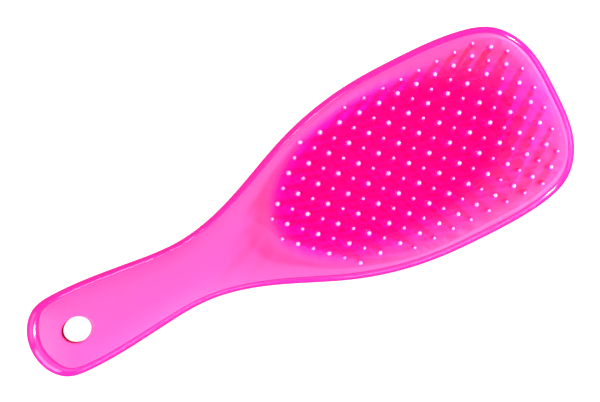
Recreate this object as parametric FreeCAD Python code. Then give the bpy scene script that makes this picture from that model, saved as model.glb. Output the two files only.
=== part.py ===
import FreeCAD, Part
import math
import os

# Detangling hairbrush with a paddle head and an integral handle, lying on its back.
# Millimetres. +X runs from the handle end to the head end, +Z points out of the tooth face.
# "Along" is the distance from the handle end. The origin is under mid-length, on the rest plane.

V = FreeCAD.Vector

# Overall sizes
LENGTH = 183.0
PARTING_Z = 15.4          # the rim's top edge, where the shell meets the plate
BED_Z = 16.0              # the flat floor that the teeth stand on
LONG_TOOTH_HEIGHT = 16.0
SHORT_TOOTH_HEIGHT = 10.0

# Outside edge of the brush: (distance along, half width)
OUTLINE = [(0, 0), (1.7, 7.0), (6.3, 11.8), (14, 13.2), (42, 11.1), (56, 10.35), (76, 14.9),
           (100, 24.8), (124, 30.4), (144, 31.2), (164, 29.9), (174, 26.4), (181, 17.0), (LENGTH, 0)]

# Edge of the tooth bed: (distance along, half width)
BED_OUTLINE = [(82.6, 0), (84.6, 6.4), (90, 13.3), (98, 19.3), (109, 23.6), (120, 26.4), (133, 27.4),
               (148, 27.2), (166, 25.5), (175, 20.9), (179.2, 9.5), (179.7, 0)]

# Rear shell
RIM_WIDTH = 2.1           # width of the shell's rim round the plate
RIM_EXTRA_AT_TAIL = 1.8   # the rim is wider at the handle end
RIM_LESS_AT_NECK = 0.4
RIM_ROLL = 3.2            # drop from the rim's top edge to the widest level
TAIL_REACH = 7.0          # length over which the wider rim fades out
NECK_ALONG = 60.0
NECK_REACH = 24.0         # length over which the neck's slimmer rim and hollowed back fade out
BACK_FULLNESS = 2.3       # superellipse exponent of the back's cross-section
REST_LAND = 0.25          # depth that the flat rest land takes off the back
NECK_RISE = 2.4           # the back is hollowed upward under the neck
WALL = 2.2
LEDGE_WIDTH = 1.9         # step inside the rim that carries the plate
SPINE_TAIL = 9.0          # the back's centre line starts and ends this far from the two ends
SPINE_HEAD = 24.0

# Front plate
PLATE_GAP = 0.12
PLATE_THICKNESS = 2.0
LEDGE_Z = BED_Z - PLATE_THICKNESS
HEAD_CROWN = 1.5          # height of the plate's surface above the parting line
HANDLE_CROWN = 2.3
CROWN_CHANGE = (55.0, 88.0)
HEAD_FULLNESS = 5.0       # superellipse exponents of the plate's cross-section
HANDLE_FULLNESS = 2.2
FULLNESS_CHANGE = (60.0, 110.0)
POCKET_START = 34.0       # the pocket under the handle keeps the plate's wall even
POCKET_LENGTH = 40.0
POCKET_WIDTH = 9.0
POCKET_DEPTH = 1.4

# Hang hole
HOLE_ALONG = 15.8
HOLE_LENGTH = 9.8
HOLE_WIDTH = 8.0
SLEEVE_WALL = 1.6

# Joint between plate and shell: blind sockets in the shell take pins under the plate
PIN_RADIUS = 1.5
PIN_LENGTH = 6.0
PIN_ROOT = 1.5            # height that a pin reaches up into the plate
PIN_CLEARANCE = 0.05
SOCKET_FOOT = 0.5         # clearance below a pin's end
BOSS_WALL = 1.5
PIN_PLACES = [(32, 0), (62, 0), (100, 13), (100, -13), (136, 22), (136, -22), (168, 13), (168, -13)]
RIB_THICKNESS = 1.4
RIB_SPAN = 40.0           # wider than the handle, then trimmed to the body
RIB_TOP_CLEARANCE = 0.3
CROSS_RIBS = [26.0, 40.0, 52.0, 72.0]

# Teeth
COLUMN_PITCH = 3.504
COLUMN_COUNT = 27
FIRST_COLUMN = 85.8
ROW_PITCH = 6.94
ROWS_EACH_SIDE = 4
EDGE_MARGIN = 1.0         # least distance from a tooth's axis to the edge of the bed
STRAIGHT_COLUMN = 133.0   # columns beyond this one bow towards the handle, those before it towards the head
HEAD_BOW = 0.11
NECK_BOW = 0.04
BOW_REACH = 24.0
LONG_ROOT_RADIUS = 1.0
LONG_TIP_RADIUS = 0.72
SHORT_ROOT_RADIUS = 0.8
SHORT_TIP_RADIUS = 0.52

# Making of the smooth skins
STATIONS = 49             # sections from the handle end to the head end
SECTION_STEPS = 12
ROLL_STEPS = 4
REACH_POWER = 0.87
# Share of the way from the centre line to the edge, closer together near the edge
REACHES = [math.cos(0.5 * math.pi * step / SECTION_STEPS) ** REACH_POWER for step in range(SECTION_STEPS)]
REACHES.append(0.0)
OVERCUT = 5.0             # how far cutting tools run past the surface that they cut
SEW_TOLERANCE = 1e-4


def bump(along, centre, reach):
    """A smooth rise to 1 at the centre that fades out over the reach."""
    return math.exp(-((along - centre) / reach) ** 2)


def ease(along, start, end):
    """A smooth step from 0 before the start to 1 after the end."""
    t = min(max((along - start) / (end - start), 0.0), 1.0)
    return t * t * (3.0 - 2.0 * t)


def closed_curve(half_points):
    """A smooth closed curve through points on one side of the centre line and their mirror images."""
    side = [V(x, y, 0) for x, y in half_points]
    other = [V(p.x, -p.y, 0) for p in reversed(side[1:-1])]
    curve = Part.BSplineCurve()
    curve.interpolate(Points=side + other, PeriodicFlag=True)
    return curve


def half_stations(half_points):
    """Points and outward normals on the +Y half of an outline, from the handle end to the head end."""
    curve = closed_curve(half_points)
    head_end = curve.parameter(V(half_points[-1][0], 0, 0))
    half = curve.toShape(curve.FirstParameter, head_end)
    stations = []
    for point in half.discretize(Number=STATIONS):
        tangent = curve.tangent(curve.parameter(point))[0]
        stations.append((point, V(-tangent.y, tangent.x, 0)))
    stations[0] = (V(half_points[0][0], 0, 0), V(-1, 0, 0))
    stations[-1] = (V(half_points[-1][0], 0, 0), V(1, 0, 0))
    return stations


OUTER_EDGE = half_stations(OUTLINE)


def rim_width(along):
    width = RIM_WIDTH + RIM_EXTRA_AT_TAIL * bump(along, 0.0, TAIL_REACH)
    return width - RIM_LESS_AT_NECK * bump(along, NECK_ALONG, NECK_REACH)


def inset_edge(extra):
    """The brush's edge moved inwards by the rim's width and a further amount."""
    return [point - normal * (rim_width(point.x) + extra) for point, normal in OUTER_EDGE]


def dome_rows(edge, level, height, fullness):
    """Sections of a smooth cover over an outline. Each runs from the edge to the centre line.

    height(along) is the signed rise at the centre line; fullness(along) is a superellipse exponent."""
    rows = []
    for point in edge:
        share = point.x / LENGTH
        centre = V(SPINE_TAIL + share * (LENGTH - SPINE_TAIL - SPINE_HEAD), 0, 0)
        power = fullness(centre.x)
        row = []
        for reach in REACHES:
            place = centre + (point - centre) * reach
            place.z = level + height(centre.x) * (1.0 - reach ** power) ** (1.0 / power)
            row.append(place)
        rows.append(row)
    return rows


def flat_face(solid, level):
    """The solid's widest level face at a height."""
    faces = [face for face in solid.Faces if abs(face.CenterOfMass.z - level) < 1e-3]
    faces = [face for face in faces if abs(face.normalAt(0, 0).z) > 0.999]
    return max(faces, key=lambda face: face.Area)


def close_skin(rows):
    """A solid from one smooth half skin, its mirror image and a flat lid over their shared edge."""
    surface = Part.BSplineSurface()
    surface.interpolate(rows)
    half = surface.toShape()
    other = half.mirror(V(0, 0, 0), V(0, 1, 0))
    level = rows[0][0].z
    lid_edges = []
    for edge in half.Edges + other.Edges:
        box = edge.BoundBox
        if box.ZLength < SEW_TOLERANCE and abs(box.ZMin - level) < SEW_TOLERANCE and box.YLength > 1.0:
            lid_edges.append(edge)
    lid = Part.Face(Part.Wire(Part.__sortEdges__(lid_edges)))
    skins = Part.makeCompound([half, other, lid])
    skins.sewShape(SEW_TOLERANCE)
    solid = Part.Solid(skins.Shells[0])
    if solid.Volume < 0:
        solid.reverse()
    return solid


def back_bottom(along):
    return NECK_RISE * bump(along, NECK_ALONG, NECK_REACH) - REST_LAND


def back_fullness(along):
    return BACK_FULLNESS


def outer_body():
    """The whole outside of the rear shell: a rim that rolls out from the plate, then a crowned back."""
    widest = PARTING_Z - RIM_ROLL
    edge = [point for point, normal in OUTER_EDGE]
    dome = dome_rows(edge, widest, lambda along: back_bottom(along) - widest, back_fullness)
    rows = []
    for (point, normal), section in zip(OUTER_EDGE, dome):
        roll = []
        for step in range(ROLL_STEPS):
            angle = 0.5 * math.pi * step / ROLL_STEPS
            place = point - normal * rim_width(point.x) * (1.0 - math.sin(angle))
            place.z = PARTING_Z - RIM_ROLL * (1.0 - math.cos(angle))
            roll.append(place)
        rows.append(roll + section)
    below = Part.makeBox(2 * LENGTH, LENGTH, OVERCUT, V(-0.5 * LENGTH, -0.5 * LENGTH, -OVERCUT))
    return close_skin(rows).cut(below)


def oval(length, width, low, high):
    """An upright oval prism round the hang hole's axis."""
    ellipse = Part.Ellipse(V(HOLE_ALONG, 0, low), 0.5 * length, 0.5 * width)
    return Part.Face(Part.Wire([ellipse.toShape()])).extrude(V(0, 0, high - low))


def inner_supports(body):
    """The hang hole's sleeve, the handle's ribs and the pin bosses, trimmed to the body's outside."""
    low = -OVERCUT
    rib_height = LEDGE_Z - RIB_TOP_CLEARANCE - low
    supports = [oval(HOLE_LENGTH + 2 * SLEEVE_WALL, HOLE_WIDTH + 2 * SLEEVE_WALL, low, LEDGE_Z)]
    for along in CROSS_RIBS:
        supports.append(Part.makeBox(RIB_THICKNESS, RIB_SPAN, rib_height, V(along, -0.5 * RIB_SPAN, low)))
    first, last = CROSS_RIBS[0], CROSS_RIBS[-1]
    spine_start = V(first, -0.5 * RIB_THICKNESS, low)
    supports.append(Part.makeBox(last - first, RIB_THICKNESS, rib_height, spine_start))
    for along, across in PIN_PLACES:
        boss_radius = PIN_RADIUS + PIN_CLEARANCE + BOSS_WALL
        supports.append(Part.makeCylinder(boss_radius, LEDGE_Z - low, V(along, across, low)))
    return supports[0].multiFuse(supports[1:]).common(body)


def rear_shell():
    """Rigid glossy back: outer skin, ledge, hang-hole sleeve, ribs and pin sockets."""
    body = outer_body()
    rabbet = flat_face(body, PARTING_Z).extrude(V(0, 0, LEDGE_Z - PARTING_Z))
    cavity = close_skin(dome_rows(inset_edge(LEDGE_WIDTH), LEDGE_Z,
                                  lambda along: back_bottom(along) + REST_LAND + WALL - LEDGE_Z,
                                  back_fullness))
    shell = body.cut(rabbet).cut(cavity).fuse(inner_supports(body))
    for along, across in PIN_PLACES:
        foot = V(along, across, LEDGE_Z - PIN_LENGTH - SOCKET_FOOT)
        socket_depth = PIN_LENGTH + SOCKET_FOOT + OVERCUT
        shell = shell.cut(Part.makeCylinder(PIN_RADIUS + PIN_CLEARANCE, socket_depth, foot))
    return shell.cut(oval(HOLE_LENGTH, HOLE_WIDTH, -OVERCUT, BED_Z + OVERCUT))


def plate_crown(along):
    return HANDLE_CROWN + (HEAD_CROWN - HANDLE_CROWN) * ease(along, *CROWN_CHANGE)


def plate_fullness(along):
    return HANDLE_FULLNESS + (HEAD_FULLNESS - HANDLE_FULLNESS) * ease(along, *FULLNESS_CHANGE)


def front_plate():
    """Satin flexible front: slab on the ledge, crowned face, sunk tooth bed, pocket and pins below."""
    crown = close_skin(dome_rows(inset_edge(PLATE_GAP), PARTING_Z, plate_crown, plate_fullness))
    slab = flat_face(crown, PARTING_Z).extrude(V(0, 0, LEDGE_Z - PARTING_Z))
    bed_wire = Part.Wire([closed_curve(BED_OUTLINE).toShape()])
    bed_wire.translate(V(0, 0, BED_Z))
    bed = Part.Face(bed_wire).extrude(V(0, 0, OVERCUT))
    pocket = Part.makeBox(POCKET_LENGTH, POCKET_WIDTH, POCKET_DEPTH,
                          V(POCKET_START, -0.5 * POCKET_WIDTH, LEDGE_Z))
    plate = crown.fuse(slab).cut(bed).cut(pocket)
    for along, across in PIN_PLACES:
        pin = Part.makeCylinder(PIN_RADIUS, PIN_LENGTH + PIN_ROOT, V(along, across, LEDGE_Z - PIN_LENGTH))
        plate = plate.fuse(pin)
    return plate.cut(oval(HOLE_LENGTH, HOLE_WIDTH, -OVERCUT, BED_Z + OVERCUT))


def tooth(place, height, root_radius, tip_radius):
    """A tapered tooth with a ball end, standing on the bed."""
    ball_z = height - tip_radius
    root = V(root_radius, 0, 0)
    neck = V(tip_radius, 0, ball_z)
    shoulder = V(tip_radius * math.sqrt(0.5), 0, ball_z + tip_radius * math.sqrt(0.5))
    top = V(0, 0, height)
    profile = Part.Wire([Part.makeLine(V(0, 0, 0), root), Part.makeLine(root, neck),
                         Part.Arc(neck, shoulder, top).toShape(), Part.makeLine(top, V(0, 0, 0))])
    body = Part.Face(profile).revolve(V(0, 0, 0), V(0, 0, 1), 360)
    body.translate(place)
    return body


def tooth_places():
    """Axes of the long and the short teeth: staggered columns that bow with the brush's ends."""
    curve = closed_curve(BED_OUTLINE).toShape()
    bed = Part.Face(Part.Wire([curve]))
    long_places, short_places = [], []
    for column in range(COLUMN_COUNT):
        is_long = column % 2 == 1
        for row in range(-ROWS_EACH_SIDE, ROWS_EACH_SIDE + 1):
            across = ROW_PITCH * (row if is_long else row + 0.5)
            along = FIRST_COLUMN + COLUMN_PITCH * column
            past = along - STRAIGHT_COLUMN
            along -= (HEAD_BOW if past > 0 else NECK_BOW) * past * (across / BOW_REACH) ** 2
            spot = V(along, across, 0)
            clear = curve.distToShape(Part.Vertex(spot))[0] >= EDGE_MARGIN
            if clear and bed.isInside(spot, 1e-3, True):
                (long_places if is_long else short_places).append(V(along, across, BED_Z))
    return long_places, short_places


def tooth_group(places, height, root_radius, tip_radius):
    return Part.makeCompound([tooth(place, height, root_radius, tip_radius) for place in places])


def export(name, shape):
    shape.translate(V(-0.5 * LENGTH, 0, 0))
    shape.exportStep("parts/" + name + ".step")
    print(name, "valid", shape.isValid(), "solids", len(shape.Solids), "volume", round(shape.Volume, 1))


os.makedirs("parts", exist_ok=True)
export("rear_shell", rear_shell())
export("front_plate", front_plate())
LONG_PLACES, SHORT_PLACES = tooth_places()
export("long_teeth", tooth_group(LONG_PLACES, LONG_TOOTH_HEIGHT, LONG_ROOT_RADIUS, LONG_TIP_RADIUS))
export("short_teeth", tooth_group(SHORT_PLACES, SHORT_TOOTH_HEIGHT, SHORT_ROOT_RADIUS, SHORT_TIP_RADIUS))
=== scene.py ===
import math

import bmesh
import bpy
import numpy as np
from mathutils import Matrix, Vector


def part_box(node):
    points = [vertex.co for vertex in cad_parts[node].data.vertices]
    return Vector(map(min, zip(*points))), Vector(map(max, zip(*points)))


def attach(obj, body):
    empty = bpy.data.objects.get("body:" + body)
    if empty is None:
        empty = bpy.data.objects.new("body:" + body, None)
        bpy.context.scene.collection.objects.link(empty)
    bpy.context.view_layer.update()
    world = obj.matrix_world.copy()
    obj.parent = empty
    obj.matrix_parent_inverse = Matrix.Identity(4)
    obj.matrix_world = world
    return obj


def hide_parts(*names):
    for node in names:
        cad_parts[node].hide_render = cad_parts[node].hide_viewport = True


# A pink detangling hairbrush lying on its back. Lengths are in metres.
# "Along" is the distance from the handle end, "across" the distance from the centre line.

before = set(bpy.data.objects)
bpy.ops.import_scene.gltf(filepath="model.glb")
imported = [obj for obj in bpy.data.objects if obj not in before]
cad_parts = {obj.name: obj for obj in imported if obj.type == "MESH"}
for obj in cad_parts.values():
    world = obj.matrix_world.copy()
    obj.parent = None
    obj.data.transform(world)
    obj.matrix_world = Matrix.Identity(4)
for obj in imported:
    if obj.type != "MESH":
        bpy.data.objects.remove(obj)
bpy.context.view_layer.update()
MM = 0.001

# ---------------------------------------------------------------- sizes from the frame

SHELL_LOW, SHELL_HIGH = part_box("rear_shell")
LENGTH = SHELL_HIGH.x - SHELL_LOW.x
TAIL_X = SHELL_LOW.x
PARTING_Z = SHELL_HIGH.z             # the rim's top edge, where the shell meets the plate
BED_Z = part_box("long_teeth")[0].z    # the flat floor that the teeth stand on

# ---------------------------------------------------------------- sizes of the shape

OUTLINE = np.array([(0, 0), (1.7, 7.0), (6.3, 11.8), (14, 13.2), (42, 11.1), (56, 10.35), (76, 14.9),
                    (100, 24.8), (124, 30.4), (144, 31.2), (164, 29.9), (174, 26.4), (181, 17.0),
                    (183, 0)]) * MM
BED_OUTLINE = np.array([(82.6, 0), (84.6, 6.4), (90, 13.3), (98, 19.3), (109, 23.6), (120, 26.4),
                        (133, 27.4), (148, 27.2), (166, 25.5), (175, 20.9), (179.2, 9.5), (179.7, 0)]) * MM

RIM_WIDTH = 2.1 * MM           # width of the shell's rim round the plate
RIM_EXTRA_AT_TAIL = 1.8 * MM   # the rim is wider at the handle end
RIM_LESS_AT_NECK = 0.4 * MM
RIM_ROLL = 3.2 * MM            # drop from the rim's top edge to the widest level
RIM_LIP_ROUND = 0.05 * MM
TAIL_REACH = 7.0 * MM          # length over which the wider rim fades out
NECK_ALONG = 60.0 * MM
NECK_REACH = 24.0 * MM         # length over which the neck's slimmer rim and hollowed back fade out
BACK_FULLNESS = 2.3            # superellipse exponent of the back's cross-section
REST_LAND = 0.25 * MM          # depth that the flat rest land takes off the back
LAND_SOFT = 0.12 * MM          # how softly the back runs into the land
NECK_RISE = 2.4 * MM           # the back is hollowed upward under the neck
WALL = 2.2 * MM
LEDGE_WIDTH = 1.9 * MM         # step inside the rim that carries the plate
SPINE_TAIL = 9.0 * MM          # the back's spine starts and ends this far from the two ends
SPINE_HEAD = 24.0 * MM
WIDEST_Z = PARTING_Z - RIM_ROLL

PLATE_GAP_AT_TAIL = 0.12 * MM  # the plate stands clear of the rim only at the handle end
PLATE_GAP_REACH = 14.0 * MM    # length over which that gap closes
PLATE_THICKNESS = 2.0 * MM
LEDGE_Z = BED_Z - PLATE_THICKNESS
HEAD_CROWN = 1.5 * MM          # height of the plate's face above the parting line
HANDLE_CROWN = 2.3 * MM
CROWN_CHANGE = (55.0 * MM, 88.0 * MM)
CROWN_SPINE_TAIL = 12.0 * MM   # the face's spine starts this far from the handle end
HEAD_FULLNESS = 5.0            # exponents of the face's cross-section
HANDLE_FULLNESS = 2.2
FULLNESS_CHANGE = (60.0 * MM, 110.0 * MM)
BED_SLOPE = 1.5 * MM           # width of the slope down to the bed
BED_SOFT_AT_NECK = 8.5 * MM    # the slope is this much wider at the bed's neck end
BED_SOFT_REACH = 11.0 * MM
FLOOR_SPINE = (92.0 * MM, 160.0 * MM)   # centre line that the rows of the bed's floor close in on

HOLE_ALONG = 15.8 * MM         # the hang hole's axis
HOLE_LENGTH = 9.8 * MM
HOLE_WIDTH = 8.0 * MM
HOLE_ROUND = 0.7 * MM          # radius of its edges
HOLE_END = HOLE_ALONG + 0.5 * HOLE_LENGTH
SLEEVE_WALL = 1.6 * MM

LONG_TOOTH = (1.0 * MM, 0.72 * MM)     # radii at the root and at the ball tip
SHORT_TOOTH = (0.8 * MM, 0.52 * MM)
TOOTH_SINK = 0.05 * MM
TOOTH_LEAN = 0.0025                    # spread of the random lean, as a slope
LONG_SEED = 11
SHORT_SEED = 12
TOOTH_SIDES = 20
SHAFT_ROWS = 9
BALL_ROWS = 8

# Columns of the grids: places along the edge where the inner path passes from one curve to the next
STATIONS = 421
HOLE_STOP = HOLE_ALONG + 3.5 * MM      # from the hang hole to the centre line
NECK_STOP = 72.0 * MM                  # from the centre line to the bed's edge
BED_STOP = 108.0 * MM                  # from the bed's neck end to its sides
BED_SPLIT = 109.0 * MM                 # where the bed's edge is cut for that

# Rows of the grids
LIP_ROWS = 5
ROLL_ROWS = 13
BACK_ROWS = 34
CAVITY_ROWS = 16
SHELL_HOLE_ROWS = 9
SLEEVE_ROWS = 5
FACE_ROWS = 37
UNDERSIDE_ROWS = 6
PLATE_HOLE_ROWS = 5
FLOOR_ROWS = 12
BACK_CROWDING = 2.0    # powers that bring the rows closer together near the edge
CAVITY_CROWDING = 1.8

SPLINE_STEPS = 60      # points between two given points of an outline
OVAL_POINTS = 81
FINE_OVAL_POINTS = 400
HALVINGS = 40
CHUNK = 64             # curve points compared at a time
WELD = 2e-6            # points this close become one
SLIVER = 1e-6
TINY = 1e-9            # keeps a length of nothing from dividing
QUARTER_TURN = 0.5 * math.pi


# ---------------------------------------------------------------- curves

def smooth_loop(half_points):
    """A periodic cubic spline through points on one side of the centre line and their mirror images.

    Returns dense points and outward normals of the +Y half, from the handle end to the head end."""
    half_points = np.asarray(half_points, float)
    points = np.vstack([half_points, half_points[-2:0:-1] * [1, -1]])
    count = len(points)
    step = np.linalg.norm(np.roll(points, -1, 0) - points, axis=1)
    before = np.roll(step, 1)
    matrix = np.zeros((count, count))
    for i in range(count):
        matrix[i, i - 1] += before[i]
        matrix[i, i] += 2 * (before[i] + step[i])
        matrix[i, (i + 1) % count] += step[i]
    slope = (np.roll(points, -1, 0) - points) / step[:, None]
    bend = np.linalg.solve(matrix, 6 * (slope - np.roll(slope, 1, 0)))
    places, directions = [], []
    b = np.linspace(0, 1, SPLINE_STEPS, endpoint=False)[:, None]
    a = 1 - b
    for i in range(len(half_points) - 1):
        j, h = (i + 1) % count, step[i]
        places.append(a * points[i] + b * points[j]
                      + ((a ** 3 - a) * bend[i] + (b ** 3 - b) * bend[j]) * h * h / 6)
        directions.append(slope[i] + ((1 - 3 * a ** 2) * bend[i] + (3 * b ** 2 - 1) * bend[j]) * h / 6)
    place = np.vstack(places + [half_points[-1:]])
    direction = np.vstack(directions + [[0.0, -1.0]])
    direction[0] = (0.0, 1.0)
    direction /= np.linalg.norm(direction, axis=1)[:, None]
    normal = np.stack([-direction[:, 1], direction[:, 0]], 1)
    return place, normal


def travelled(points):
    return np.concatenate([[0], np.cumsum(np.linalg.norm(np.diff(points, axis=0), axis=1))])


def resample(values, travel, count):
    """Rows of values at evenly spaced places on a travelled distance."""
    where = np.linspace(0, travel[-1], count)
    return np.stack([np.interp(where, travel, column) for column in values.T], 1)


def edge_and_normal():
    """Evenly spaced stations on the +Y half of the brush's edge, and the outward normals there."""
    dense, dense_normal = smooth_loop(OUTLINE)
    travel = travelled(dense)
    normal = resample(dense_normal, travel, STATIONS)
    return resample(dense, travel, STATIONS), normal / np.linalg.norm(normal, axis=1)[:, None]


EDGE, EDGE_NORMAL = edge_and_normal()


def bump(along, centre, reach):
    """1 at the centre, falling to 0 on both sides."""
    return np.exp(-((along - centre) / reach) ** 2)


def s_curve(share):
    return share * share * (3 - 2 * share)


def ease(along, start, end):
    """0 before start and 1 after end."""
    return s_curve(np.clip((along - start) / (end - start), 0, 1))


def rim_width(along):
    width = RIM_WIDTH + RIM_EXTRA_AT_TAIL * bump(along, 0.0, TAIL_REACH)
    return width - RIM_LESS_AT_NECK * bump(along, NECK_ALONG, NECK_REACH)


def inset(extra):
    """The brush's edge moved inwards by the rim's width and a further amount."""
    width = rim_width(EDGE[:, 0]) + extra
    moved = EDGE - EDGE_NORMAL * width[:, None]
    moved[[0, -1], 1] = 0.0
    return moved


def reach_on(edge, plan, tail_end):
    """How far out each point lies between the spine (0) and the edge (1), and its place on the spine.

    Every point of the edge is joined to a place on the spine by a straight line. The line that passes
    through a point of the plan is found by halving."""
    points = plan.reshape(-1, 2)
    spine = tail_end + edge[:, 0] / LENGTH * (LENGTH - tail_end - SPINE_HEAD)
    position = np.arange(len(edge), dtype=float)
    low = np.zeros(len(points))
    high = np.full(len(points), len(edge) - 1.0)
    for _ in range(HALVINGS):
        middle = 0.5 * (low + high)
        rim = np.stack([np.interp(middle, position, edge[:, k]) for k in (0, 1)], 1)
        along = np.interp(middle, position, spine)
        start = np.stack([along, np.zeros(len(along))], 1)
        ray, offset = rim - start, points - start
        before = ray[:, 0] * offset[:, 1] - ray[:, 1] * offset[:, 0] < 0
        low = np.where(before, middle, low)
        high = np.where(before, high, middle)
    length = np.maximum(np.linalg.norm(ray, axis=1), TINY)
    reach = np.clip(np.linalg.norm(offset, axis=1) / length, 0, 1)
    return reach.reshape(plan.shape[:2]), along.reshape(plan.shape[:2])


def gap_to(curve, plan):
    """Distance in plan from each point to a curve given by close points."""
    points = plan.reshape(-1, 2)
    best = np.full(len(points), np.inf)
    for start in range(0, len(curve), CHUNK):
        gap = np.linalg.norm(points[:, None, :] - curve[None, start:start + CHUNK], axis=2)
        best = np.minimum(best, gap.min(1))
    return best.reshape(plan.shape[:2])


def oval_half(length, width, count=OVAL_POINTS):
    """The +Y half of an oval round the hang hole's axis, from the handle side to the head side."""
    angle = np.linspace(math.pi, 0, count)
    half = np.stack([HOLE_ALONG + 0.5 * length * np.cos(angle), 0.5 * width * np.sin(angle)], 1)
    half[[0, -1], 1] = 0.0
    return half


def centre_line(start):
    """The centre line from a place behind the hole to the end of the spine."""
    return np.array([(start, 0.0), (LENGTH - SPINE_HEAD, 0.0)])


def joined_path(pieces, stops):
    """One inner point per station: each piece is spread over the stations between two stops.

    Returns the path and the stations where the pieces start and end."""
    path = np.zeros((STATIONS, 2))
    inner_stops = [int(np.searchsorted(EDGE[:, 0], stop)) for stop in stops]
    ends = [0] + inner_stops + [STATIONS - 1]
    for piece, first, last in zip(pieces, ends[:-1], ends[1:]):
        path[first:last + 1] = resample(piece, travelled(piece), last - first + 1)
    return path, ends


# ---------------------------------------------------------------- mesh building

class Skin:
    """Collects quad grids for the +Y half, then mirrors them and welds them into a closed surface."""

    def __init__(self):
        self.grids = []

    def add(self, plan, level):
        """plan is rows x columns x 2 in along/across, level is rows x columns."""
        self.grids.append(np.concatenate([plan, np.asarray(level)[..., None]], axis=2))

    def add_level_rows(self, plan, levels):
        """A grid whose rows are each level."""
        self.add(plan, np.repeat(np.asarray(levels, float)[:, None], plan.shape[1], axis=1))

    def add_ring(self, outer, inner, outer_level, inner_level):
        self.add_level_rows(between(outer, inner, [0.0, 1.0]), [outer_level, inner_level])

    def add_wall(self, curve, start, end, rows):
        """An upright wall on a curve, from a level for each point to one level."""
        shares = np.linspace(0, 1, rows)[:, None]
        self.add(np.repeat(curve[None], rows, axis=0), start[None] * (1 - shares) + end * shares)

    def build(self, name, material):
        mesh = bmesh.new()
        for grid in self.grids:
            for side in (1.0, -1.0):
                rows, columns = grid.shape[:2]
                places = grid * [1.0, side, 1.0] + [TAIL_X, 0.0, 0.0]
                made = [[mesh.verts.new(p) for p in row] for row in places]
                for i in range(rows - 1):
                    for j in range(columns - 1):
                        corner = [made[i][j], made[i][j + 1], made[i + 1][j + 1], made[i + 1][j]]
                        mesh.faces.new(corner if side > 0 else corner[::-1])
        bmesh.ops.remove_doubles(mesh, verts=mesh.verts, dist=WELD)
        bmesh.ops.dissolve_degenerate(mesh, edges=mesh.edges, dist=SLIVER)
        bmesh.ops.recalc_face_normals(mesh, faces=mesh.faces)
        data = bpy.data.meshes.new(name)
        mesh.to_mesh(data)
        mesh.free()
        return smooth_piece(name, data, material)


def smooth_piece(name, data, material):
    data.polygons.foreach_set("use_smooth", [True] * len(data.polygons))
    data.materials.append(material)
    piece = bpy.data.objects.new(name, data)
    bpy.context.scene.collection.objects.link(piece)
    return piece


def between(outer, inner, shares):
    """Rows of plan points from one curve to another."""
    shares = np.asarray(shares)[:, None, None]
    return outer[None] * (1 - shares) + inner[None] * shares


def hole_lip(plan):
    """How far a surface turns away from its level at the hang hole's rounded edge."""
    gap = gap_to(oval_half(HOLE_LENGTH, HOLE_WIDTH, FINE_OVAL_POINTS), plan)
    near = np.clip(1 - gap / HOLE_ROUND, 0, 1)
    return HOLE_ROUND * (1 - np.sqrt(1 - near ** 2))


# ---------------------------------------------------------------- materials

# Sockets of the Mix node, which has one set for numbers and another for colours
NUMBER_A, NUMBER_B, NUMBER_RESULT = 2, 3, 0
COLOUR_A, COLOUR_B, COLOUR_RESULT = 6, 7, 2

# Noise: scale per metre, detail and roughness
FLOW_NOISE = (45.0, 3.0, 0.55)
HAZE_NOISE = (400.0, 5.0, 0.55)
GRAIN_NOISE = (3.0, 0.6)     # without the scale, which each material has its own of
NOISE_RANGE = (0.3, 0.7)     # where nearly all of the noise lies
GRAIN_STRENGTH = 0.35

SCATTER_RADIUS = (1.0, 0.12, 0.45)
SCATTER_DEPTH = 1.6 * MM

# Upward part of the normal where the painted highlight on a tooth's tip starts and where it is full
TIP_HIGHLIGHT_RANGE = (0.35, 0.85)

# Centre along and across, half length and half width, share of the radius over which it fades
# The first oval holds the bed's painted shade, the second, cut to it, the polish of the floor
BED_SHADE_OVAL = (132.2 * MM, 0.5 * MM, 51.5 * MM, 28.2 * MM, 0.17)
POLISH_OVAL = (125.0 * MM, 3.0 * MM, 61.0 * MM, 31.0 * MM, 0.46)

# Two tones of each pink, which the flow marks blend
PINKS = ((0.96, 0.006, 0.252), (0.94, 0.005, 0.242))
SHELL_PINKS = ((0.96, 0.014, 0.25), (0.94, 0.012, 0.24))
# Deeper pink painted on the bed's floor as the shade among the teeth; the teeth also use it as their own
# colour
SHADED_BED_AND_TOOTH_PINKS = ((0.96, 0.002, 0.39), (0.94, 0.002, 0.37))
# Pale pink painted on the upward-facing ends of the teeth as a highlight
TIP_HIGHLIGHT_PINK = (0.97, 0.30, 0.62)
BED_ROUGHNESS = (0.12, 0.15)


def new_material(name):
    material = bpy.data.materials.new(name)
    material.use_nodes = True
    tree = material.node_tree
    return material, tree, tree.nodes["Principled BSDF"]


def add_node(tree, kind, **values):
    """A node with values set on its sockets, or on the node where no socket has that name."""
    node = tree.nodes.new(kind)
    for key, value in values.items():
        if key in node.inputs:
            node.inputs[key].default_value = value
        else:
            setattr(node, key, value)
    return node


def noise(tree, scale, detail, roughness):
    where = add_node(tree, "ShaderNodeTexCoord")
    made = add_node(tree, "ShaderNodeTexNoise", Scale=scale, Detail=detail, Roughness=roughness)
    tree.links.new(where.outputs["Object"], made.inputs["Vector"])
    return made.outputs["Fac"]


def spread(tree, source, low, high):
    """Noise spread over the range from low to high."""
    made = add_node(tree, "ShaderNodeMapRange")
    made.inputs["To Min"].default_value = low
    made.inputs["To Max"].default_value = high
    made.inputs["From Min"].default_value, made.inputs["From Max"].default_value = NOISE_RANGE
    tree.links.new(source, made.inputs["Value"])
    return made.outputs["Result"]


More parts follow.
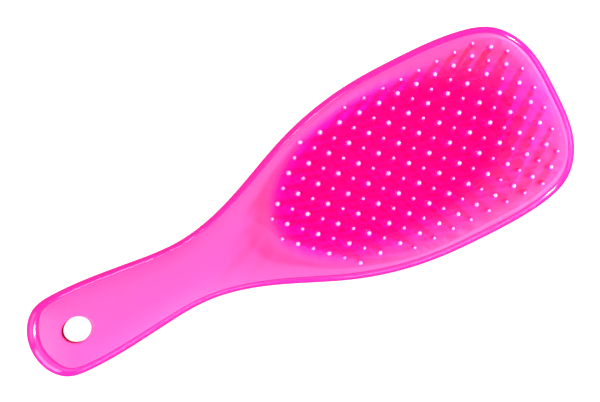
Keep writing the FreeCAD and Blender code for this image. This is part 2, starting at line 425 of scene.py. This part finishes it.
def oval_zone(tree, along, across, half_length, half_width, fade):
    """1 inside an oval seen from above, fading to 0 at its edge over a share of its radius."""
    where = add_node(tree, "ShaderNodeTexCoord")
    place = add_node(tree, "ShaderNodeMapping")
    place.inputs["Scale"].default_value = (1 / half_length, 1 / half_width, 0.0)
    place.inputs["Location"].default_value = (-(TAIL_X + along) / half_length, -across / half_width, 0.0)
    round_fade = add_node(tree, "ShaderNodeTexGradient", gradient_type="SPHERICAL")
    ramp = add_node(tree, "ShaderNodeMapRange", interpolation_type="SMOOTHSTEP")
    ramp.inputs["From Max"].default_value = fade
    tree.links.new(where.outputs["Object"], place.inputs["Vector"])
    tree.links.new(place.outputs["Vector"], round_fade.inputs["Vector"])
    tree.links.new(round_fade.outputs["Fac"], ramp.inputs["Value"])
    return ramp.outputs["Result"]


def tip_highlight_mask(tree):
    """Mask of the painted highlight: 1 on the round end of a tooth, where the surface faces up, and 0 on
    its sides.
    """
    where = add_node(tree, "ShaderNodeNewGeometry")
    parts = add_node(tree, "ShaderNodeSeparateXYZ")
    ramp = add_node(tree, "ShaderNodeMapRange", interpolation_type="SMOOTHSTEP")
    ramp.inputs["From Min"].default_value, ramp.inputs["From Max"].default_value = TIP_HIGHLIGHT_RANGE
    tree.links.new(where.outputs["Normal"], parts.inputs["Vector"])
    tree.links.new(parts.outputs["Z"], ramp.inputs["Value"])
    return ramp.outputs["Result"]


def product(tree, first, second):
    times = add_node(tree, "ShaderNodeMath", operation="MULTIPLY")
    tree.links.new(first, times.inputs[0])
    tree.links.new(second, times.inputs[1])
    return times.outputs["Value"]


def mix_colours(tree, share, first, second):
    """A blend of two colours, each a fixed colour or the output of a node."""
    mix = add_node(tree, "ShaderNodeMix", data_type="RGBA")
    for socket, colour in ((COLOUR_A, first), (COLOUR_B, second)):
        if isinstance(colour, tuple):
            mix.inputs[socket].default_value = (*colour, 1)
        else:
            tree.links.new(colour, mix.inputs[socket])
    tree.links.new(share, mix.inputs["Factor"])
    return mix.outputs[COLOUR_RESULT]


def mix_numbers(tree, share, first, second):
    mix = add_node(tree, "ShaderNodeMix")
    tree.links.new(share, mix.inputs["Factor"])
    tree.links.new(first, mix.inputs[NUMBER_A])
    tree.links.new(second, mix.inputs[NUMBER_B])
    return mix.outputs[NUMBER_RESULT]


def paint_bed_shade_and_polish(tree, flow, haze, colour, dullness):
    """Paints the tooth bed's shade as a deeper pink in an oval, and blends it and the polish of its middle
    into the plate's finish.
    """
    # mask of the painted shade on the bed
    bed = oval_zone(tree, *BED_SHADE_OVAL)
    polish = product(tree, bed, oval_zone(tree, *POLISH_OVAL))
    colour = mix_colours(tree, bed, colour, mix_colours(tree, flow, *SHADED_BED_AND_TOOTH_PINKS))
    dullness = mix_numbers(tree, polish, dullness, spread(tree, haze, *BED_ROUGHNESS))
    return colour, dullness


def moulded_plastic(name, colours, roughness, ior, grain_scale, grain_depth, scatter, extra=None):
    """Coloured plastic with faint flow marks in the colour and a moulded grain in roughness and bump.

    extra is "bed" for the plate, whose tooth bed gets painted shade in a deeper pink and a polished
    middle, or "tips" for teeth with a painted highlight on their ends."""
    material, tree, shader = new_material(name)
    flow = spread(tree, noise(tree, *FLOW_NOISE), 0.0, 1.0)
    haze = noise(tree, *HAZE_NOISE)
    colour = mix_colours(tree, flow, *colours)
    dullness = spread(tree, haze, *roughness)
    if extra == "bed":
        # painted shade of the tooth bed, and its polish
        colour, dullness = paint_bed_shade_and_polish(tree, flow, haze, colour, dullness)
    if extra == "tips":
        # painted highlight: the upward-facing end of each tooth turns pale
        colour = mix_colours(tree, tip_highlight_mask(tree), colour, TIP_HIGHLIGHT_PINK)
    tree.links.new(colour, shader.inputs["Base Color"])
    tree.links.new(dullness, shader.inputs["Roughness"])
    grain = add_node(tree, "ShaderNodeBump", Strength=GRAIN_STRENGTH, Distance=grain_depth)
    tree.links.new(noise(tree, grain_scale, *GRAIN_NOISE), grain.inputs["Height"])
    tree.links.new(grain.outputs["Normal"], shader.inputs["Normal"])
    shader.inputs["IOR"].default_value = ior
    shader.inputs["Subsurface Weight"].default_value = scatter
    shader.inputs["Subsurface Radius"].default_value = SCATTER_RADIUS
    shader.inputs["Subsurface Scale"].default_value = SCATTER_DEPTH
    return material


SHELL_GLOSS = moulded_plastic(
    "shell_gloss_pink", SHELL_PINKS, roughness=(0.10, 0.14), ior=1.45,
    grain_scale=700.0, grain_depth=0.003 * MM, scatter=0.1)
# The plate's material paints the tooth bed's shade as a deeper pink
PLATE_SATIN = moulded_plastic(
    "plate_satin_pink", PINKS, roughness=(0.58, 0.64), ior=1.78,
    grain_scale=3200.0, grain_depth=0.02 * MM, scatter=0.25, extra="bed")
# The teeth's material paints a highlight on their tips
TOOTH_SATIN = moulded_plastic(
    "tooth_satin_pink", SHADED_BED_AND_TOOTH_PINKS, roughness=(0.30, 0.36), ior=1.60,
    grain_scale=4000.0, grain_depth=0.01 * MM, scatter=0.35, extra="tips")


# ---------------------------------------------------------------- rear shell

def back_level(edge, plan, edge_level, lift):
    """A crowned back inside an outline, hollowed under the neck, and lift higher than the outside."""
    reach, along = reach_on(edge, plan, SPINE_TAIL)
    lowest = NECK_RISE * bump(along, NECK_ALONG, NECK_REACH) - REST_LAND + lift
    level = edge_level + (lowest - edge_level) * (1 - reach ** BACK_FULLNESS) ** (1 / BACK_FULLNESS)
    level[0] = edge_level
    return level


def with_land(level):
    """The back's lowest part, eased into the flat that the brush rests on."""
    return 0.5 * (level + np.sqrt(level ** 2 + LAND_SOFT ** 2))


def add_rim(skin, seat):
    """The rim, from its rounded inner lip over the roll to the widest level."""
    places, levels = [], []
    for angle in np.linspace(0, QUARTER_TURN, LIP_ROWS):
        places.append(seat + EDGE_NORMAL * (RIM_LIP_ROUND * (1 - math.cos(angle))))
        levels.append(PARTING_Z - RIM_LIP_ROUND + RIM_LIP_ROUND * math.sin(angle))
    width = rim_width(EDGE[:, 0]) - RIM_LIP_ROUND
    for angle in np.linspace(0, QUARTER_TURN, ROLL_ROWS)[1:]:
        places.append(EDGE - EDGE_NORMAL * (width * (1 - math.sin(angle)))[:, None])
        levels.append(PARTING_Z - RIM_ROLL * (1 - math.cos(angle)))
    plan = np.array(places)
    plan[:, [0, -1], 1] = 0.0
    skin.add_level_rows(plan, levels)


def add_back(skin):
    """The back and the hang hole's wall. Returns the hole's edge."""
    core, ends = joined_path([oval_half(HOLE_LENGTH, HOLE_WIDTH), centre_line(HOLE_END)], [HOLE_STOP])
    plan = between(EDGE, core, np.linspace(0, 1, BACK_ROWS) ** BACK_CROWDING)
    level = with_land(back_level(EDGE, plan, WIDEST_Z, 0.0)) + hole_lip(plan)
    skin.add(plan, level)
    hole_edge = core[:ends[1] + 1]
    skin.add_wall(hole_edge, level[-1, :len(hole_edge)], LEDGE_Z, SHELL_HOLE_ROWS)
    return hole_edge


def add_inside(skin, hole_edge, seat):
    """The hole's sleeve, the cavity, the ledge and the wall round the plate's seat."""
    cavity_edge = inset(LEDGE_WIDTH)
    sleeve = oval_half(HOLE_LENGTH + 2 * SLEEVE_WALL, HOLE_WIDTH + 2 * SLEEVE_WALL)
    core, _ = joined_path([sleeve, centre_line(HOLE_END + SLEEVE_WALL)], [HOLE_STOP])
    sleeve_edge = core[:len(hole_edge)]
    skin.add_ring(hole_edge, sleeve_edge, LEDGE_Z, LEDGE_Z)
    plan = between(cavity_edge, core, np.linspace(0, 1, CAVITY_ROWS) ** CAVITY_CROWDING)
    level = back_level(cavity_edge, plan, LEDGE_Z, REST_LAND + WALL)
    skin.add(plan, level)
    skin.add_wall(sleeve_edge, level[-1, :len(sleeve_edge)], LEDGE_Z, SLEEVE_ROWS)
    skin.add_ring(cavity_edge, seat, LEDGE_Z, LEDGE_Z)
    skin.add_ring(seat, seat, LEDGE_Z, PARTING_Z - RIM_LIP_ROUND)


def build_shell():
    skin = Skin()
    seat = inset(0.0)
    add_rim(skin, seat)
    hole_edge = add_back(skin)
    add_inside(skin, hole_edge, seat)
    return skin.build("rear_shell_moulding", SHELL_GLOSS)


# ---------------------------------------------------------------- front plate

def crown_level(edge, plan):
    """The plate's face without its bed, which runs out gently at the seam."""
    reach, along = reach_on(edge, plan, CROWN_SPINE_TAIL)
    height = HANDLE_CROWN + (HEAD_CROWN - HANDLE_CROWN) * ease(along, *CROWN_CHANGE)
    fullness = HANDLE_FULLNESS + (HEAD_FULLNESS - HANDLE_FULLNESS) * ease(along, *FULLNESS_CHANGE)
    return PARTING_Z + height * (1 - reach ** fullness)


def sloped_to_bed(level, plan, bed):
    """The face brought down to the bed's floor in an S-curve, which is wide and soft at the neck end."""
    soft = bump(plan[..., 0], bed[0, 0], BED_SOFT_REACH) * bump(plan[..., 1], 0.0, BED_SOFT_REACH)
    near = np.clip(1 - gap_to(bed, plan) / (BED_SLOPE + BED_SOFT_AT_NECK * soft), 0, 1)
    return level - (level - BED_Z) * s_curve(near)


def add_underside(skin, edge):
    """The skirt that stands on the shell's ledge, and a flat underside."""
    skin.add_ring(edge, edge, LEDGE_Z, PARTING_Z)
    core, _ = joined_path([oval_half(HOLE_LENGTH, HOLE_WIDTH), centre_line(HOLE_END)], [HOLE_STOP])
    shares = np.linspace(0, 1, UNDERSIDE_ROWS)
    skin.add_level_rows(between(edge, core, shares), [LEDGE_Z] * UNDERSIDE_ROWS)


def add_bed_floor(skin, bed_edge):
    count = len(bed_edge)
    floor_spine = np.stack([np.linspace(*FLOOR_SPINE, count), np.zeros(count)], 1)
    plan = between(bed_edge, floor_spine, np.linspace(0, 1, FLOOR_ROWS))
    skin.add_level_rows(plan, [BED_Z] * FLOOR_ROWS)


def build_plate():
    skin = Skin()
    edge = inset(PLATE_GAP_AT_TAIL * bump(EDGE[:, 0], 0.0, PLATE_GAP_REACH))
    bed = smooth_loop(BED_OUTLINE)[0]
    split = int(np.argmin(np.abs(bed[:, 0] - BED_SPLIT)))
    pieces = [oval_half(HOLE_LENGTH, HOLE_WIDTH), np.array([(HOLE_END, 0.0), tuple(bed[0])]),
              bed[:split + 1], bed[split:]]
    core, ends = joined_path(pieces, [HOLE_STOP, NECK_STOP, BED_STOP])
    hole_edge, bed_edge = core[:ends[1] + 1], core[ends[2]:]

    # The rows lie closer together at both ends, and the end rows exactly on the seam and the bed's floor
    shares = 0.5 * (1 - np.cos(math.pi * np.linspace(0, 1, FACE_ROWS)))
    plan = between(edge, core, shares)
    level = sloped_to_bed(crown_level(edge, plan) - hole_lip(plan), plan, bed)
    level[0] = PARTING_Z
    level[-1, ends[2]:] = BED_Z
    skin.add(plan, level)

    add_underside(skin, edge)
    skin.add_wall(hole_edge, level[-1, :len(hole_edge)], LEDGE_Z, PLATE_HOLE_ROWS)
    add_bed_floor(skin, bed_edge)
    return skin.build("front_plate_moulding", PLATE_SATIN)


# ---------------------------------------------------------------- teeth

def islands(mesh):
    """The separate groups of joined vertices of a mesh."""
    seen, groups = set(), []
    for start in mesh.verts:
        if start in seen:
            continue
        seen.add(start)
        group, waiting = [start], [start]
        while waiting:
            vertex = waiting.pop()
            for edge in vertex.link_edges:
                other = edge.other_vert(vertex)
                if other not in seen:
                    seen.add(other)
                    group.append(other)
                    waiting.append(other)
        groups.append(group)
    return groups


def tooth_axes(node):
    """Places of the tooth axes, from the islands of the frame's own mesh."""
    mesh = bmesh.new()
    mesh.from_mesh(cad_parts[node].data)
    bmesh.ops.remove_doubles(mesh, verts=mesh.verts, dist=SLIVER)
    places = []
    for group in islands(mesh):
        corners = np.array([vertex.co for vertex in group])
        places.append(0.5 * (corners.min(0) + corners.max(0))[:2])
    mesh.free()
    return sorted(map(tuple, places))


def tooth_profile(height, root, tip):
    """Radius and level from the sunk base up to the ball tip."""
    ball = height - tip
    profile = [(root, -TOOTH_SINK)]
    for share in np.linspace(0, 1, SHAFT_ROWS):
        profile.append((root + (tip - root) * share, ball * share))
    for angle in np.linspace(0, QUARTER_TURN, BALL_ROWS)[1:-1]:
        profile.append((tip * math.cos(angle), ball + tip * math.sin(angle)))
    return profile


def tooth_faces(first, rows):
    """Faces of one tooth: rings of quads, a fan at the tip and one face under the base."""
    faces = []
    last = first + (rows - 1) * TOOTH_SIDES
    apex = last + TOOTH_SIDES
    for row in range(rows - 1):
        for k in range(TOOTH_SIDES):
            a = first + row * TOOTH_SIDES + k
            b = first + row * TOOTH_SIDES + (k + 1) % TOOTH_SIDES
            faces.append((a, b, b + TOOTH_SIDES, a + TOOTH_SIDES))
    for k in range(TOOTH_SIDES):
        faces.append((last + k, last + (k + 1) % TOOTH_SIDES, apex))
    faces.append(tuple(first + k for k in reversed(range(TOOTH_SIDES))))
    return faces


def build_teeth(name, node, radii, seed):
    low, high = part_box(node)
    height = high.z - low.z
    profile = tooth_profile(height, *radii)
    chance = np.random.default_rng(seed)
    angles = np.linspace(0, 2 * math.pi, TOOTH_SIDES, endpoint=False)
    verts, faces = [], []
    for x, y in tooth_axes(node):
        lean = chance.normal(0, TOOTH_LEAN, 2)
        faces += tooth_faces(len(verts), len(profile))
        for radius, level in profile:
            shift = lean * max(level, 0)
            for angle in angles:
                verts.append((x + shift[0] + radius * math.cos(angle),
                              y + shift[1] + radius * math.sin(angle), low.z + level))
        verts.append((x + lean[0] * height, y + lean[1] * height, low.z + height))
    data = bpy.data.meshes.new(name)
    data.from_pydata(verts, [], faces)
    data.update()
    return smooth_piece(name, data, TOOTH_SATIN)


shell = build_shell()
plate = build_plate()
long_teeth = build_teeth("long_tooth_field", "long_teeth", LONG_TOOTH, LONG_SEED)
short_teeth = build_teeth("short_tooth_field", "short_teeth", SHORT_TOOTH, SHORT_SEED)
PIECES = (
    (shell, "rear_shell", "shell_gloss"),
    (plate, "front_plate", "plate_satin"),
    (long_teeth, "long_teeth", "tooth_satin"),
    (short_teeth, "short_teeth", "tooth_satin"),
)
for piece, node, slot in PIECES:
    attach(piece, "root")
    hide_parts(node)


# ---------------------------------------------------------------- studio

# The camera looks straight down, with the brush turned in the picture as in the photograph
VIEW_CENTRE = Vector((4.5 * MM, 4.62 * MM, 12.4 * MM))
VIEW_RIGHT = Vector((0.894, -0.448, 0.0)).normalized()
VIEW_UP = Vector((0.448, 0.894, 0.0)).normalized()
VIEW_WIDTH = 187.5 * MM
CAMERA_DISTANCE = 1.60
SENSOR_WIDTH = 36.0            # in millimetres, as Blender has it
CLIP_RANGE = (0.01, 20.0)

LIGHT_TARGET = Vector((0.03, 0.0, 0.015))
LIGHT_DISTANCE = 0.7
FLOOR_HALF_SIZE = 4.0
FLOOR_GREY = 0.35
FLOOR_ROUGHNESS = 0.9
FLOOR_GLOW = 1.0

# Upward part of the direction, and the surround's brightness there: dark below and overhead
WORLD_LEVELS = ((0.0, 0.0), (0.02, 0.03), (0.85, 0.03), (0.95, 0.0))

# name: azimuth and elevation in degrees, (width, height) in metres, power in watts
LIGHTS = {
    "key": (56, 28, (0.07, 0.07), 7.0),
    "second_key": (318, 30, (0.07, 0.07), 3.6),
    "head": (0, 16, (0.45, 0.38), 1.6),
    "low_corner": (315, 48, (0.45, 0.38), 0.9),
    "low_side": (270, 48, (0.45, 0.38), 0.7),
    "tail_corner": (225, 16, (0.45, 0.38), 3.5),
    "tail_corner_high": (225, 48, (0.45, 0.38), 0.9),
    "tail": (180, 16, (0.45, 0.38), 1.4),
    "tail_window": (190, 47, (0.06, 0.17), 2.8),
    "head_edge": (20, 8, (0.50, 0.16), 1.8),
    "low_edge": (297, 8, (0.60, 0.16), 2.6),
    "upper_side": (130, 59, (0.12, 0.12), 1.1),
    "head_high": (5, 62, (0.16, 0.16), 0.45),
}


def add_floor():
    """A white floor, which isn't mirrored in the brush's gloss."""
    material, _, shader = new_material("floor_white")
    shader.inputs["Base Color"].default_value = (FLOOR_GREY, FLOOR_GREY, FLOOR_GREY, 1)
    shader.inputs["Roughness"].default_value = FLOOR_ROUGHNESS
    shader.inputs["Specular IOR Level"].default_value = 0.0
    shader.inputs["Emission Color"].default_value = (1, 1, 1, 1)
    shader.inputs["Emission Strength"].default_value = FLOOR_GLOW
    data = bpy.data.meshes.new("floor")
    half = FLOOR_HALF_SIZE
    corners = [(-half, -half, 0), (half, -half, 0), (half, half, 0), (-half, half, 0)]
    data.from_pydata(corners, [], [(0, 1, 2, 3)])
    data.materials.append(material)
    floor = bpy.data.objects.new("floor", data)
    bpy.context.scene.collection.objects.link(floor)
    floor.visible_glossy = False


def add_light(name, azimuth, elevation, size, power):
    """A soft rectangular light that faces the head.

    Azimuth is measured in the picture, from its right-hand side towards its top."""
    turn, lift = math.radians(azimuth), math.radians(elevation)
    level = VIEW_RIGHT * math.cos(turn) + VIEW_UP * math.sin(turn)
    aim = level * math.cos(lift) + Vector((0, 0, math.sin(lift)))
    data = bpy.data.lights.new(name, "AREA")
    data.shape = "RECTANGLE"
    data.size, data.size_y = size
    data.energy = power
    light = bpy.data.objects.new(name, data)
    light.location = LIGHT_TARGET + aim * LIGHT_DISTANCE
    light.rotation_euler = aim.to_track_quat("Z", "Y").to_euler()
    bpy.context.scene.collection.objects.link(light)


def add_world():
    """A faint soft surround."""
    world = bpy.data.worlds.new("studio")
    world.use_nodes = True
    tree = world.node_tree
    where = add_node(tree, "ShaderNodeTexCoord")
    parts = add_node(tree, "ShaderNodeSeparateXYZ")
    ramp = add_node(tree, "ShaderNodeValToRGB")
    stops = ramp.color_ramp.elements
    for position, level in WORLD_LEVELS:
        stop = stops.new(position) if position else stops[0]
        stop.color = (level, level, level, 1)
    stops.remove(stops[-1])    # the ramp's own white end
    tree.links.new(where.outputs["Generated"], parts.inputs["Vector"])
    tree.links.new(parts.outputs["Z"], ramp.inputs["Fac"])
    tree.links.new(ramp.outputs["Color"], tree.nodes["Background"].inputs["Color"])
    bpy.context.scene.world = world


def add_camera():
    data = bpy.data.cameras.new("camera")
    data.sensor_width = SENSOR_WIDTH
    data.lens = SENSOR_WIDTH * CAMERA_DISTANCE / VIEW_WIDTH
    data.clip_start, data.clip_end = CLIP_RANGE
    camera = bpy.data.objects.new("camera", data)
    back = VIEW_RIGHT.cross(VIEW_UP)
    turn = Matrix((VIEW_RIGHT, VIEW_UP, back)).transposed().to_4x4()
    camera.matrix_world = Matrix.Translation(VIEW_CENTRE + back * CAMERA_DISTANCE) @ turn
    bpy.context.scene.collection.objects.link(camera)
    bpy.context.scene.camera = camera


add_floor()
add_world()
for light_name, settings in LIGHTS.items():
    add_light(light_name, *settings)
add_camera()
bpy.context.scene.view_settings.view_transform = "Standard"
